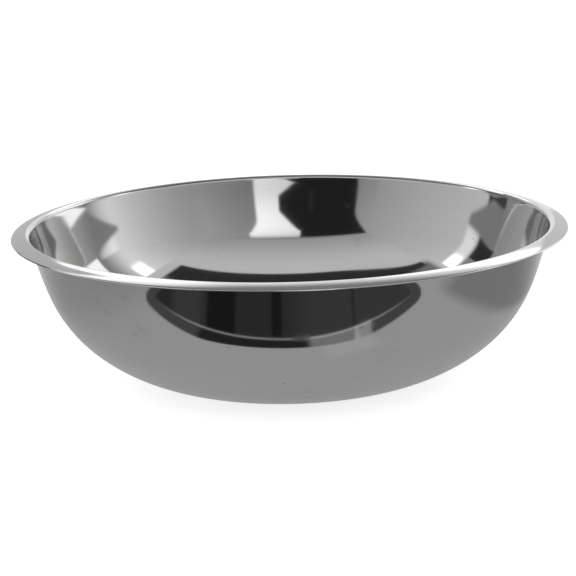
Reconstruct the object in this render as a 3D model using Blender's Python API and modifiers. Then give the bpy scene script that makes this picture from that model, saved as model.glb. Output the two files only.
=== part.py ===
"""A 30 quart mixing bowl: one disc of stainless steel, drawn into a bowl with a sloping rim.

The sheet's underside is drawn as one path, from the middle of the base out to the lip that ends
the rim. The path is turned about Z, and the sheet then gets its thickness on the food side.
Units are metres, +Z is up, and the origin is the middle of the base's underside.
"""

from math import acos, ceil, copysign, cos, pi, radians, sin

import bmesh
import bpy

# Sizes over everything, and the sheet
OVERALL_DIAMETER = 0.572
OVERALL_HEIGHT = 0.160
SHEET_THICKNESS = 0.0008

# The base, the two arcs that carry it up into the wall, and the wall, which bows a little
BASE_RADIUS = 0.095
HEEL_RADIUS = 0.178
HEEL_END_SLOPE = radians(39.5)
SHOULDER_RADIUS = 0.142
WALL_START_SLOPE = radians(69)
WALL_END_SLOPE = radians(78)

# The rim: the wall rolls over, slopes away as a slightly domed flange, and ends in a turned-down lip
ROLL_RADIUS = 0.0045
FLANGE_START_SLOPE = radians(-12)
FLANGE_END_SLOPE = radians(-22)
LIP_RADIUS = 0.0010
LIP_SLOPE = radians(-85)

# How finely the round shapes are cut
CHORD_ERROR = 0.0001
FEWEST_ARC_STEPS = 3
TURN_STEPS = 72
POLE_MERGE = 0.00001

STEEL_COLOUR = (0.66, 0.66, 0.65, 1.0)
STEEL_ROUGHNESS = 0.12


def clear_scene():
    for obj in list(bpy.data.objects):
        bpy.data.objects.remove(obj)


def arc_size(radius, slope_in, slope_out):
    """The (radial, height) distance that an arc covers as its slope turns from one to the other."""
    turning = copysign(radius, slope_out - slope_in)
    across = turning * (sin(slope_out) - sin(slope_in))
    up = turning * (cos(slope_in) - cos(slope_out))
    return across, up


def add_arc(path, radius, slope_in, slope_out):
    """Carries the path on by an arc, in chords that stay within CHORD_ERROR of it."""
    widest_step = 2 * acos(1 - CHORD_ERROR / radius)
    steps = max(FEWEST_ARC_STEPS, ceil(abs(slope_out - slope_in) / widest_step))
    start_r, start_z = path[-1]
    for step in range(1, steps + 1):
        slope = slope_in + (slope_out - slope_in) * step / steps
        across, up = arc_size(radius, slope_in, slope)
        path.append((start_r + across, start_z + up))


def underside_path():
    """Points (radius, height) along the sheet's underside, from the middle of the base to the lip."""
    path = [(0.0, 0.0), (BASE_RADIUS, 0.0)]
    add_arc(path, HEEL_RADIUS, 0.0, HEEL_END_SLOPE)
    add_arc(path, SHOULDER_RADIUS, HEEL_END_SLOPE, WALL_START_SLOPE)

    # The wall rises until the roll, with the sheet on top of it, reaches the full height.
    _, wall_start_z = path[-1]
    _, roll_rise = arc_size(ROLL_RADIUS, WALL_END_SLOPE, 0.0)
    wall_rise = OVERALL_HEIGHT - SHEET_THICKNESS - roll_rise - wall_start_z
    _, rise_of_unit_arc = arc_size(1.0, WALL_START_SLOPE, WALL_END_SLOPE)
    add_arc(path, wall_rise / rise_of_unit_arc, WALL_START_SLOPE, WALL_END_SLOPE)

    # The roll goes over in two arcs, so that the path has a point at its very top.
    add_arc(path, ROLL_RADIUS, WALL_END_SLOPE, 0.0)
    add_arc(path, ROLL_RADIUS, 0.0, FLANGE_START_SLOPE)

    # The flange runs out until the lip, with the sheet outside it, reaches the full diameter.
    flange_start_r, _ = path[-1]
    lip_width, _ = arc_size(LIP_RADIUS, FLANGE_END_SLOPE, LIP_SLOPE)
    sheet_outside_lip = SHEET_THICKNESS * sin(abs(LIP_SLOPE))
    flange_width = OVERALL_DIAMETER / 2 - sheet_outside_lip - lip_width - flange_start_r
    width_of_unit_arc, _ = arc_size(1.0, FLANGE_START_SLOPE, FLANGE_END_SLOPE)
    add_arc(path, flange_width / width_of_unit_arc, FLANGE_START_SLOPE, FLANGE_END_SLOPE)
    add_arc(path, LIP_RADIUS, FLANGE_END_SLOPE, LIP_SLOPE)
    return path


def path_mesh(name, path):
    """A mesh of the path's points and the edges between them, in the XZ plane."""
    mesh = bpy.data.meshes.new(name)
    drawn = bmesh.new()
    points = [drawn.verts.new((radius, 0.0, height)) for radius, height in path]
    for first, second in zip(points, points[1:]):
        drawn.edges.new((first, second))
    drawn.to_mesh(mesh)
    drawn.free()
    return mesh


def turn_about_z(obj):
    screw = obj.modifiers.new("Turn", "SCREW")
    screw.axis = "Z"
    screw.angle = 2 * pi
    screw.steps = TURN_STEPS
    screw.render_steps = TURN_STEPS
    screw.use_merge_vertices = True
    screw.merge_threshold = POLE_MERGE
    screw.use_smooth_shade = True


def give_thickness(obj):
    """The sheet grows away from its faces, so the underside stays where the path puts it."""
    solidify = obj.modifiers.new("Sheet", "SOLIDIFY")
    solidify.thickness = SHEET_THICKNESS
    solidify.offset = -1.0
    solidify.use_even_offset = True
    solidify.use_rim = True


def polished_steel():
    material = bpy.data.materials.new("polished_stainless_steel")
    material.use_nodes = True
    shader = material.node_tree.nodes["Principled BSDF"]
    shader.inputs["Base Color"].default_value = STEEL_COLOUR
    shader.inputs["Metallic"].default_value = 1.0
    shader.inputs["Roughness"].default_value = STEEL_ROUGHNESS
    return material


def make_bowl(collection):
    """The path runs from the lip down to the base, which makes the faces point outwards."""
    mesh = path_mesh("bowl", underside_path()[::-1])
    mesh.materials.append(polished_steel())
    bowl = bpy.data.objects.new("bowl", mesh)
    collection.objects.link(bowl)
    turn_about_z(bowl)
    give_thickness(bowl)


def main():
    clear_scene()
    collection = bpy.data.collections.new("mixing_bowl")
    bpy.context.scene.collection.children.link(collection)
    make_bowl(collection)


main()
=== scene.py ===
"""A 30 quart mixing bowl of polished stainless steel, on a pale floor in a light tent."""

from math import cos, pi, radians, sin

import bmesh
import bpy
from mathutils import Matrix, Vector, noise


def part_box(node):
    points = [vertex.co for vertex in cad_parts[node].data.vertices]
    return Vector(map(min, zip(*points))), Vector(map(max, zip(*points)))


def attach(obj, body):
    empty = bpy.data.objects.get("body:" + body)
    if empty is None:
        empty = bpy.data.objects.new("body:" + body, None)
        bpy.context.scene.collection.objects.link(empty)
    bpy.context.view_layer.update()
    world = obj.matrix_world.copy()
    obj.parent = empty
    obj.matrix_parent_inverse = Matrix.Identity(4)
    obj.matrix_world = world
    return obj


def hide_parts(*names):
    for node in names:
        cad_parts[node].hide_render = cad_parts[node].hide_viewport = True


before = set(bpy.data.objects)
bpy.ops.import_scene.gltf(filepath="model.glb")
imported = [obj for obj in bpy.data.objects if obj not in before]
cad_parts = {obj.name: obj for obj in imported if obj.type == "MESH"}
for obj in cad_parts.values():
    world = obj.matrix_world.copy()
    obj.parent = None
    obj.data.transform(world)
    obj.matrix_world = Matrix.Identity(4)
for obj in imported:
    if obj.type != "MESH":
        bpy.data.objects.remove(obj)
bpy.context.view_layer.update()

# ---------------------------------------------------------------------------
# The bowl's sheet
# One disc of 22 gauge stainless steel. A press draws it over a former into the base and the curved
# wall, rolls the top over into a sloping flange, and trims and turns down its lip. It is polished
# on both sides while it turns, and its underside is scuffed where it slides on the bench.
# ---------------------------------------------------------------------------

lowest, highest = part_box("bowl")
rim_radius, crest_height = highest.x, highest.z
sheet = 0.0008
base_radius = 0.095
heel_radius, heel_slope = 0.178, radians(39.5)
shoulder_radius, wall_slope = 0.142, radians(69)
brim_slope = radians(78)
roll_radius, flange_slope = 0.0045, radians(-12)
flange_end_slope = radians(-22)
lip_radius, lip_slope = 0.0010, radians(-85)


def bend_along(bm, tip, radius, slope, new_slope, steps):
    """Draws the profile on from its tip, round an arc that turns its slope into the new one."""
    side = 1 if new_slope > slope else -1
    centre = tip.co + Vector((-sin(slope), 0.0, cos(slope))) * radius * side
    spun = bmesh.ops.spin(bm, geom=[tip], cent=centre, axis=(0, 1, 0), dvec=(0, 0, 0),
                          angle=slope - new_slope, steps=steps, use_merge=False)
    return [part for part in spun["geom_last"] if isinstance(part, bmesh.types.BMVert)][0]


bm = bmesh.new()
middle = bmesh.ops.create_vert(bm, co=(0.0, 0.0, lowest.z))["vert"][0]
base = bmesh.ops.extrude_vert_indiv(bm, verts=[middle])
bmesh.ops.translate(bm, verts=base["verts"], vec=(base_radius, 0.0, 0.0))
bmesh.ops.subdivide_edges(bm, edges=base["edges"], cuts=15)
tip = max(bm.verts, key=lambda vert: vert.co.x)
tip = bend_along(bm, tip, heel_radius, 0.0, heel_slope, steps=36)
tip = bend_along(bm, tip, shoulder_radius, heel_slope, wall_slope, steps=28)

# The wall bows a little, and fills the height that is left below the roll. The clearance keeps the
# finished sheet from standing above the height that it is made to.
clearance = 0.00001
wall_rise = crest_height - clearance - sheet - roll_radius * (1 - cos(brim_slope)) - tip.co.z
wall_radius = wall_rise / (cos(wall_slope) - cos(brim_slope))
tip = bend_along(bm, tip, wall_radius, wall_slope, brim_slope, steps=14)
tip = bend_along(bm, tip, roll_radius, brim_slope, 0.0, steps=14)
tip = bend_along(bm, tip, roll_radius, 0.0, flange_slope, steps=3)

# The flange fills the width that is left inside the lip.
lip_reach = lip_radius * (sin(flange_end_slope) - sin(lip_slope)) + sheet * sin(-lip_slope)
flange_reach = rim_radius - lip_reach - tip.co.x
flange_radius = flange_reach / (sin(flange_slope) - sin(flange_end_slope))
tip = bend_along(bm, tip, flange_radius, flange_slope, flange_end_slope, steps=9)
bend_along(bm, tip, lip_radius, flange_end_slope, lip_slope, steps=8)

# The outline is turned once round, which makes the whole underside of the sheet.
bmesh.ops.spin(bm, geom=bm.verts[:] + bm.edges[:], cent=(0, 0, 0), axis=(0, 0, 1),
               dvec=(0, 0, 0), angle=2 * pi, steps=304, use_merge=True)
bmesh.ops.remove_doubles(bm, verts=bm.verts, dist=0.00001)
bmesh.ops.recalc_face_normals(bm, faces=bm.faces)
bmesh.ops.reverse_faces(bm, faces=bm.faces)

# Drawing leaves the wall very slightly uneven, which is what makes a reflection in it sway. The
# flat base holds it true at the bottom, and the rolled rim at the top.
bm.normal_update()
unevenness, dent_size = 0.00006, 0.075
loose_height, rim_start = 0.96 * crest_height, 0.15
for vert in bm.verts:
    free = max(0.0, sin(pi * vert.co.z / loose_height)) if vert.co.z < rim_start else 0.0
    vert.co += vert.normal * noise.noise(vert.co / dent_size) * unevenness * free
for face in bm.faces:
    face.smooth = True

mesh = bpy.data.meshes.new("bowl_sheet")
bm.to_mesh(mesh)
bm.free()
bowl = bpy.data.objects.new("bowl_sheet", mesh)
bpy.context.scene.collection.objects.link(bowl)

thickness = bowl.modifiers.new("Sheet", "SOLIDIFY")
thickness.thickness = sheet
thickness.offset = -1.0
thickness.use_even_offset = True
broken_edge = bowl.modifiers.new("Broken edge of the lip", "BEVEL")
broken_edge.width = 0.00014
broken_edge.segments = 2
broken_edge.limit_method = "ANGLE"
broken_edge.angle_limit = radians(60)
broken_edge.harden_normals = True


class Signal:
    """A shader socket. Sums on it add Math nodes, and node() adds a node of any other kind."""

    def __init__(self, tree, socket):
        self.tree = tree
        self.socket = socket

    def node(self, kind, settings, sockets, output=0):
        made = self.tree.nodes.new(kind)
        for name, value in settings.items():
            setattr(made, name, value)
        for name, value in sockets.items():
            if isinstance(value, Signal):
                self.tree.links.new(value.socket, made.inputs[name])
            else:
                made.inputs[name].default_value = value
        return Signal(self.tree, made.outputs[output])

    def maths(self, operation, *values):
        return self.node("ShaderNodeMath", {"operation": operation}, dict(enumerate(values)))

    def __add__(self, other):
        return self.maths("ADD", self, other)

    def __radd__(self, other):
        return self.maths("ADD", other, self)

    def __sub__(self, other):
        return self.maths("SUBTRACT", self, other)

    def __rsub__(self, other):
        return self.maths("SUBTRACT", other, self)

    def __mul__(self, other):
        return self.maths("MULTIPLY", self, other)

    def __rmul__(self, other):
        return self.maths("MULTIPLY", other, self)

    def __truediv__(self, other):
        return self.maths("DIVIDE", self, other)

    def __abs__(self):
        return self.maths("ABSOLUTE", self)

    def axis(self, letter):
        return self.node("ShaderNodeSeparateXYZ", {}, {"Vector": self}, letter)

    def rise(self, start, end):
        """Goes smoothly from 0 at start to 1 at end, whichever of the two is the greater."""
        return self.node("ShaderNodeMapRange", {"interpolation_type": "SMOOTHSTEP"},
                         {"Value": self, "From Min": start, "From Max": end})

    def band(self, start, end, soft):
        """Is 1 between start and end, and falls to 0 over soft outside them."""
        return self.rise(start - soft, start) * self.rise(end + soft, end)

    def towards(self, other, *shares):
        """Goes from this value to the other as the shares, multiplied together, go from 0 to 1."""
        step = other - self
        for share in shares:
            step = step * share
        return self + step

    def mottle(self, scale, detail, roughness=0.5):
        """Noise about 0.5 at this place, with scale patches to the metre."""
        return self.node("ShaderNodeTexNoise", {},
                         {"Vector": self, "Scale": scale, "Detail": detail, "Roughness": roughness})

    def into(self, socket):
        self.tree.links.new(self.socket, socket)


steel = bpy.data.materials.new("polished_stainless_steel")
steel.use_nodes = True
shader = steel.node_tree.nodes["Principled BSDF"]
place = Signal(steel.node_tree, None).node("ShaderNodeTexCoord", {}, {}, "Object")
x, y, z = place.axis("X"), place.axis("Y"), place.axis("Z")
radius = x.maths("SQRT", x * x + y * y)

# The buff runs round the bowl, so its marks are long around it and narrow up the wall. They run
# together in a small spot in the middle.
mark_closeness, middle_spot = 260, 0.001
around = place.node("ShaderNodeCombineXYZ", {},
                    {"X": x / (radius + middle_spot), "Y": y / (radius + middle_spot),
                     "Z": (radius + z) * mark_closeness})
buffing = around.mottle(2.2, 4.0, 0.65)
haze = place.mottle(9.0, 3.0)
fingermarks = place.mottle(46.0, 2.0).rise(0.60, 0.74) * haze.rise(0.48, 0.62)
specks = place.node("ShaderNodeTexVoronoi", {}, {"Vector": place, "Scale": 34.0})
specks = specks.rise(0.085, 0.03) * place.mottle(17.0, 1.0).rise(0.55, 0.62)

# Where the sheet rests or was cut at the lip it isn't a mirror any more, and the lip's cut edge is
# also painted darker, partly as the duller raw edge and partly as painted shade. Each place is
# given as where this starts and where it is complete.
rest_start, rest_full = 0.0006, 0.0002
trim_start, trim_full = rim_radius - 0.0011, rim_radius - 0.0007
edge_start, edge_full = 0.1551, 0.1547
resting = z.rise(rest_start, rest_full)
trimmed_and_shaded_lip = radius.rise(trim_start, trim_full) * z.rise(edge_start, edge_full)
scratches = place.node("ShaderNodeTexWave", {"bands_direction": "DIAGONAL"},
                       {"Vector": place, "Scale": 150.0, "Distortion": 42.0, "Detail": 4.0,
                        "Detail Scale": 0.6}).rise(0.90, 0.99) * resting

mirror = 0.045 + 0.030 * buffing + 0.050 * haze.rise(0.50, 0.75) + 0.10 * fingermarks
rough = mirror + 0.12 * specks + 0.17 * resting + 0.12 * scratches + 0.28 * trimmed_and_shaded_lip
rough.into(shader.inputs["Roughness"])

# The colour is darker where the steel is hazy, buffed, fingermarked, specked or scuffed, and much
# darker at the lip's cut edge. That edge is partly the duller raw edge and partly painted shade.
tarnish_and_edge_shade = 1.0 - 0.040 * haze - 0.075 * buffing - 0.065 * fingermarks
tarnish_and_edge_shade = tarnish_and_edge_shade - 0.16 * specks - 0.05 * resting - 0.45 * trimmed_and_shaded_lip

# The mixing of colours takes its sockets by number, as several of them share a name.
share, first_colour, second_colour, mixed_colour = 0, 6, 7, 2
black, clean_steel = (0.0, 0.0, 0.0, 1.0), (0.690, 0.690, 0.685, 1.0)
tint = place.node("ShaderNodeMix", {"data_type": "RGBA", "blend_type": "MIX"},
                  {first_colour: black, second_colour: clean_steel, share: tarnish_and_edge_shade}, mixed_colour)
tint.into(shader.inputs["Base Color"])

relief = buffing * 0.35 + haze * 0.25 + scratches * -2.0 + specks * -0.6
bump = place.node("ShaderNodeBump", {}, {"Strength": 0.10, "Distance": 0.00004, "Height": relief})
bump.into(shader.inputs["Normal"])
shader.inputs["Metallic"].default_value = 1.0
mesh.materials.append(steel)

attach(bowl, "root")
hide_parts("bowl")

# ---------------------------------------------------------------------------
# The camera
# A long lens looks a little down into the bowl, from eight rim radii away, and leans very slightly.
# ---------------------------------------------------------------------------

eye_distance, eye_height_angle, lean = 8 * rim_radius, radians(13.6), radians(1.48)
camera_data = bpy.data.cameras.new("camera")
camera_data.sensor_width = 36.0
camera_data.lens = 137.4
camera_data.shift_x = -0.0054
camera_data.shift_y = 0.0165
camera = bpy.data.objects.new("camera", camera_data)
bpy.context.scene.collection.objects.link(camera)
eye = Vector((0.0, -cos(eye_height_angle), sin(eye_height_angle))) * eye_distance
camera.matrix_world = (Matrix.Translation(Vector((0.0, 0.0, crest_height / 2)) + eye)
                       @ Matrix.Rotation(pi / 2 - eye_height_angle, 4, "X")
                       @ Matrix.Rotation(-lean, 4, "Z"))
bpy.context.scene.camera = camera

# ---------------------------------------------------------------------------
# The floor
# A plain pale sheet under the bowl. It takes the bowl's shadow, and the steel doesn't mirror it.
# ---------------------------------------------------------------------------


def stage_piece(name, bm, material):
    mesh = bpy.data.meshes.new(name)
    bm.to_mesh(mesh)
    bm.free()
    mesh.materials.append(material)
    piece = bpy.data.objects.new(name, mesh)
    bpy.context.scene.collection.objects.link(piece)
    return piece


floor_radius, floor_height = 30.0, -0.0005
bm = bmesh.new()
bmesh.ops.create_circle(bm, cap_ends=True, segments=96, radius=floor_radius)
bmesh.ops.translate(bm, verts=bm.verts, vec=(0, 0, floor_height))
pale = bpy.data.materials.new("pale_floor")
pale.use_nodes = True
matt = pale.node_tree.nodes["Principled BSDF"]
matt.inputs["Base Color"].default_value = (0.80, 0.80, 0.80, 1.0)
matt.inputs["Roughness"].default_value = 0.9
matt.inputs["Emission Color"].default_value = (1.0, 1.0, 1.0, 1.0)
matt.inputs["Emission Strength"].default_value = 0.70
floor = stage_piece("floor", bm, pale)
floor.visible_glossy = False

# ---------------------------------------------------------------------------
# The light tent
# What the steel mirrors: a grey tabletop, and a tent of pale cloth on five sides with a black and
# a white card in front, a dark bar overhead, a lamp at each side and a white sweep behind.
# In a panel's formula rise and band say where a shape lies on it, and a brightness of 1 is white.
# ---------------------------------------------------------------------------

tent_side, tent_top, tent_foot = 2.5, 2.3, -0.4
table_height = -0.001
overlap = 0.05


def tent_panel(name, corners, grey_at):
    """A lit panel, as bright at each place as grey_at says, which only reflections show."""
    material = bpy.data.materials.new(name)
    material.use_nodes = True
    cloth = material.node_tree.nodes["Principled BSDF"]
    cloth.inputs["Base Color"].default_value = (0.0, 0.0, 0.0, 1.0)
    cloth.inputs["Specular IOR Level"].default_value = 0.0
    cloth.inputs["Emission Strength"].default_value = 1.0
    place = Signal(material.node_tree, None).node("ShaderNodeTexCoord", {}, {}, "Object")
    grey_at(place).into(cloth.inputs["Emission Color"])
    bm = bmesh.new()
    verts = [bmesh.ops.create_vert(bm, co=corner)["vert"][0] for corner in corners]
    bmesh.ops.contextual_create(bm, geom=verts)
    panel = stage_piece(name, bm, material)
    panel.visible_camera = False
    panel.visible_diffuse = False
    panel.visible_shadow = False


def tabletop_grey(place):
    x, y = place.axis("X"), place.axis("Y")
    far = y.rise(0.0, 0.6)
    table = 0.41 - 0.085 * x.rise(-0.24, -0.42) + 0.34 * far
    table = table - 0.17 * x.rise(0.298, 0.352) * y.rise(-0.30, -0.22) * (1 - far)
    table = table + 0.045 * x.band(0.06, 0.12, 0.03) * y.band(-0.30, -0.27, 0.03)
    # Close round the bowl's foot the table is painted darker, a painted shadow of the bowl on the
    # table.
    table = table * (1 - 0.14 * (x * x + y * y).rise(0.045, 0.012))

    # In front of the table there is a dark bay with round corners and a thin light edging.
    beyond = abs(x + 0.018) - 0.272
    along = beyond.maths("MAXIMUM", beyond, 0.0)
    front = y + 0.340 - 0.026 * x.rise(0.0, -0.30)
    away = front.maths("MAXIMUM", front, 0.0)
    corner_radius = 0.050
    inside = corner_radius - front.maths("SQRT", along * along + away * away)
    bearing = x / (0.0 - y)
    apron = 0.07 - 0.05 * x.band(-0.155, 0.020, 0.015) + 0.155 * x.band(0.035, 0.105, 0.015)
    apron = apron + 0.25 * bearing.band(0.36, 0.45, 0.02)
    bay = 0.030 + 0.020 * bearing.rise(-0.08, 0.15) + 0.022 * bearing.band(-0.74, -0.60, 0.12)
    bay = bay - 0.018 * bearing.band(-0.49, -0.33, 0.03) - 0.018 * bearing.band(-0.10, -0.06, 0.015)
    bay = bay - 0.020 * bearing.band(0.345, 0.355, 0.01) - 0.016 * bearing.rise(0.78, 0.90)
    edging = inside.band(0.0285, 0.0300, 0.0025) * x.band(-0.16, 0.14, 0.14)
    apron = apron.towards(bay, inside.rise(0.029, 0.033))
    return table.towards(apron, inside.rise(0.0, 0.004)) + 0.26 * edging


def front_grey(place):
    x, z = place.axis("X"), place.axis("Z")
    cloth = 0.25 + 0.075 * (abs(x) - 0.85) + 0.09 * z.rise(0.8, 2.0)

    # The white card is wider towards its top, where it fades out.
    slant = x - 0.26 * z.rise(1.5, 1.95)
    white = 0.98 + 0.35 * z.band(1.5, 1.6, 0.6) + 0.20 * (x - 0.4)
    cloth = cloth.towards(white, slant.rise(0.82, 0.74), x.rise(-0.5, -0.4), z.rise(2.28, 1.98))

    # The black card is wider towards its top, and a blunt point stands out from its inner side.
    flare = x + 0.65 * z.rise(1.45, 2.3)
    card = flare.rise(-1.80, -1.70) * x.rise(-0.25, -0.29)
    point = (x.band(-0.40, 0.21, 0.035) * (x - 1.7 * z).rise(-1.57, -1.64)
             * (x + 1.18 * z).rise(1.85, 1.79))
    covered = card.maths("MAXIMUM", card, point) * z.rise(2.28, 2.12)
    strip = 0.010 * x.band(-0.57, -0.46, 0.01) * z.band(1.02, 1.36, 0.03)
    cloth = cloth.towards(0.018 + strip, covered)
    return cloth.towards(0.06, z.rise(0.74, 0.66), x.rise(0.36, 0.26))


def back_grey(place):
    x, z = place.axis("X"), place.axis("Z")
    low = z.band(0.46, 0.77, 0.04)
    cloth = 0.57 + 0.12 * x.rise(-0.2, 0.2) - 0.27 * x.rise(-1.3, -2.4)
    cloth = cloth.towards(1.35 - 0.95 * low, x.rise(1.4, 1.9))
    cloth = cloth.towards(0.28, low, x.rise(-1.45, -1.60))
    cloth = cloth.towards(1.0, x.band(-2.08, -1.60, 0.06), z.rise(0.43, 0.39))
    cloth = cloth.towards(0.06, x.rise(-2.08, -2.14), z.rise(0.43, 0.39))

    # The white sweep is wider and brighter towards its top, but less bright in the middle there.
    left, right = x + 0.75 * z.rise(0.2, 1.7), x - 0.75 * z.rise(0.7, 2.0)
    sweep = 0.95 + 0.70 * z.rise(1.28, 1.50) - 0.6 * x.band(-0.25, 0.25, 0.25) * z.rise(1.4, 2.0)
    return cloth.towards(sweep, left.rise(-0.29, -0.21), right.rise(0.78, 0.70))


def left_grey(place):
    y, z = place.axis("Y"), place.axis("Z")
    cloth = 0.42 + 0.085 * (y + 2.5) + 0.05 * (z - 1.2)
    cloth = cloth.towards(0.30, y.rise(0.88, 1.02))
    cloth = cloth * (1 - 0.7 * z.rise(2.0, 2.25) * y.rise(-0.1, 0.2))
    lamp = (0.34 + 1.5 * z.rise(1.26, 1.62)) * y.band(0.58, 0.80, 0.15) * z.band(0.84, 1.85, 0.12)
    low = y.rise(0.42, 0.54) * (z + 0.42 * y).rise(0.83, 0.89) * z.band(0.42, 0.74, 0.04)
    dark = y.band(1.02, 1.66, 0.09) * z.band(0.78, 1.26, 0.06)
    foot = y.band(0.98, 1.60, 0.10) * (z + 0.14 * y).rise(0.62, 0.59)
    bright = (cloth + lamp) * (1 - low) * (1 - dark) * (1 - foot)
    return bright + 0.25 * low + 0.035 * dark + 0.055 * foot


def right_grey(place):
    y, z = place.axis("Y"), place.axis("Z")
    cloth = 0.385 + 0.070 * (y + 2.5) * (y + 2.5) + 0.07 * (z - 1.0)
    cloth = cloth.towards(0.28, y.rise(0.20, 1.15))
    lamp = 1.1 * y.band(0.22, 0.50, 0.12) * z.rise(1.50, 1.85)
    hazy = 0.35 * y.band(0.6, 0.9, 0.3) * z.band(0.86, 0.92, 0.10)
    white = y.rise(1.19, 1.26) * z.rise(0.80, 0.90) + y.rise(0.90, 1.12) * z.rise(0.42, 0.38)
    low = y.rise(0.15, 0.30) * (z + 0.42 * y).rise(0.83, 0.89) * z.band(0.42, 0.78, 0.04)
    grey = 0.26 + 0.16 * y.rise(0.9, 1.7)
    return (cloth + lamp + hazy) * (1 - low) + grey * low + 1.1 * white


def top_grey(place):
    x, y = place.axis("X"), place.axis("Y")
    cloth = 0.43 + 0.25 * y.rise(-2.6, -0.6)
    skew = y - 0.45 * x.rise(-0.5, -2.5)
    bar = skew.rise(-0.52, -0.46) * x.rise(2.12, 1.98)
    behind = 0.035 + 0.18 * y.rise(0.12, 0.30) + 0.06 * y.rise(0.5, 1.4) + 0.80 * y.rise(1.35, 2.5)
    behind = behind + 0.62 * x.rise(-0.2, -0.7) * y.rise(1.3, 1.8)
    return cloth.towards(behind, bar)


def upright_panel(name, turn, grey_at):
    """A wall of the tent, turned about Z from the front. It overlaps its neighbours a little."""
    wide, high = tent_side + overlap, tent_top + overlap
    corners = [(-wide, -tent_side, tent_foot), (wide, -tent_side, tent_foot),
               (wide, -tent_side, high), (-wide, -tent_side, high)]
    quarter = Matrix.Rotation(turn, 3, "Z")
    tent_panel(name, [quarter @ Vector(corner) for corner in corners], grey_at)


def level_panel(name, height, grey_at):
    """The tabletop or the top of the tent, which reaches a little past the walls."""
    wide = tent_side + overlap
    tent_panel(name, [(-wide, -wide, height), (wide, -wide, height),
                      (wide, wide, height), (-wide, wide, height)], grey_at)


level_panel("tabletop", table_height, tabletop_grey)
level_panel("tent_top", tent_top, top_grey)
upright_panel("tent_front", 0.0, front_grey)
upright_panel("tent_right", pi / 2, right_grey)
upright_panel("tent_back", pi, back_grey)
upright_panel("tent_left", -pi / 2, left_grey)

world = bpy.data.worlds.new("white_surroundings")
bpy.context.scene.world = world
world.use_nodes = True
world.node_tree.nodes["Background"].inputs["Color"].default_value = (1.0, 1.0, 1.0, 1.0)
bpy.context.scene.view_settings.view_transform = "Standard"

# Light goes from wall to wall inside a polished bowl more often than the usual four times.
bpy.context.scene.cycles.glossy_bounces = 12
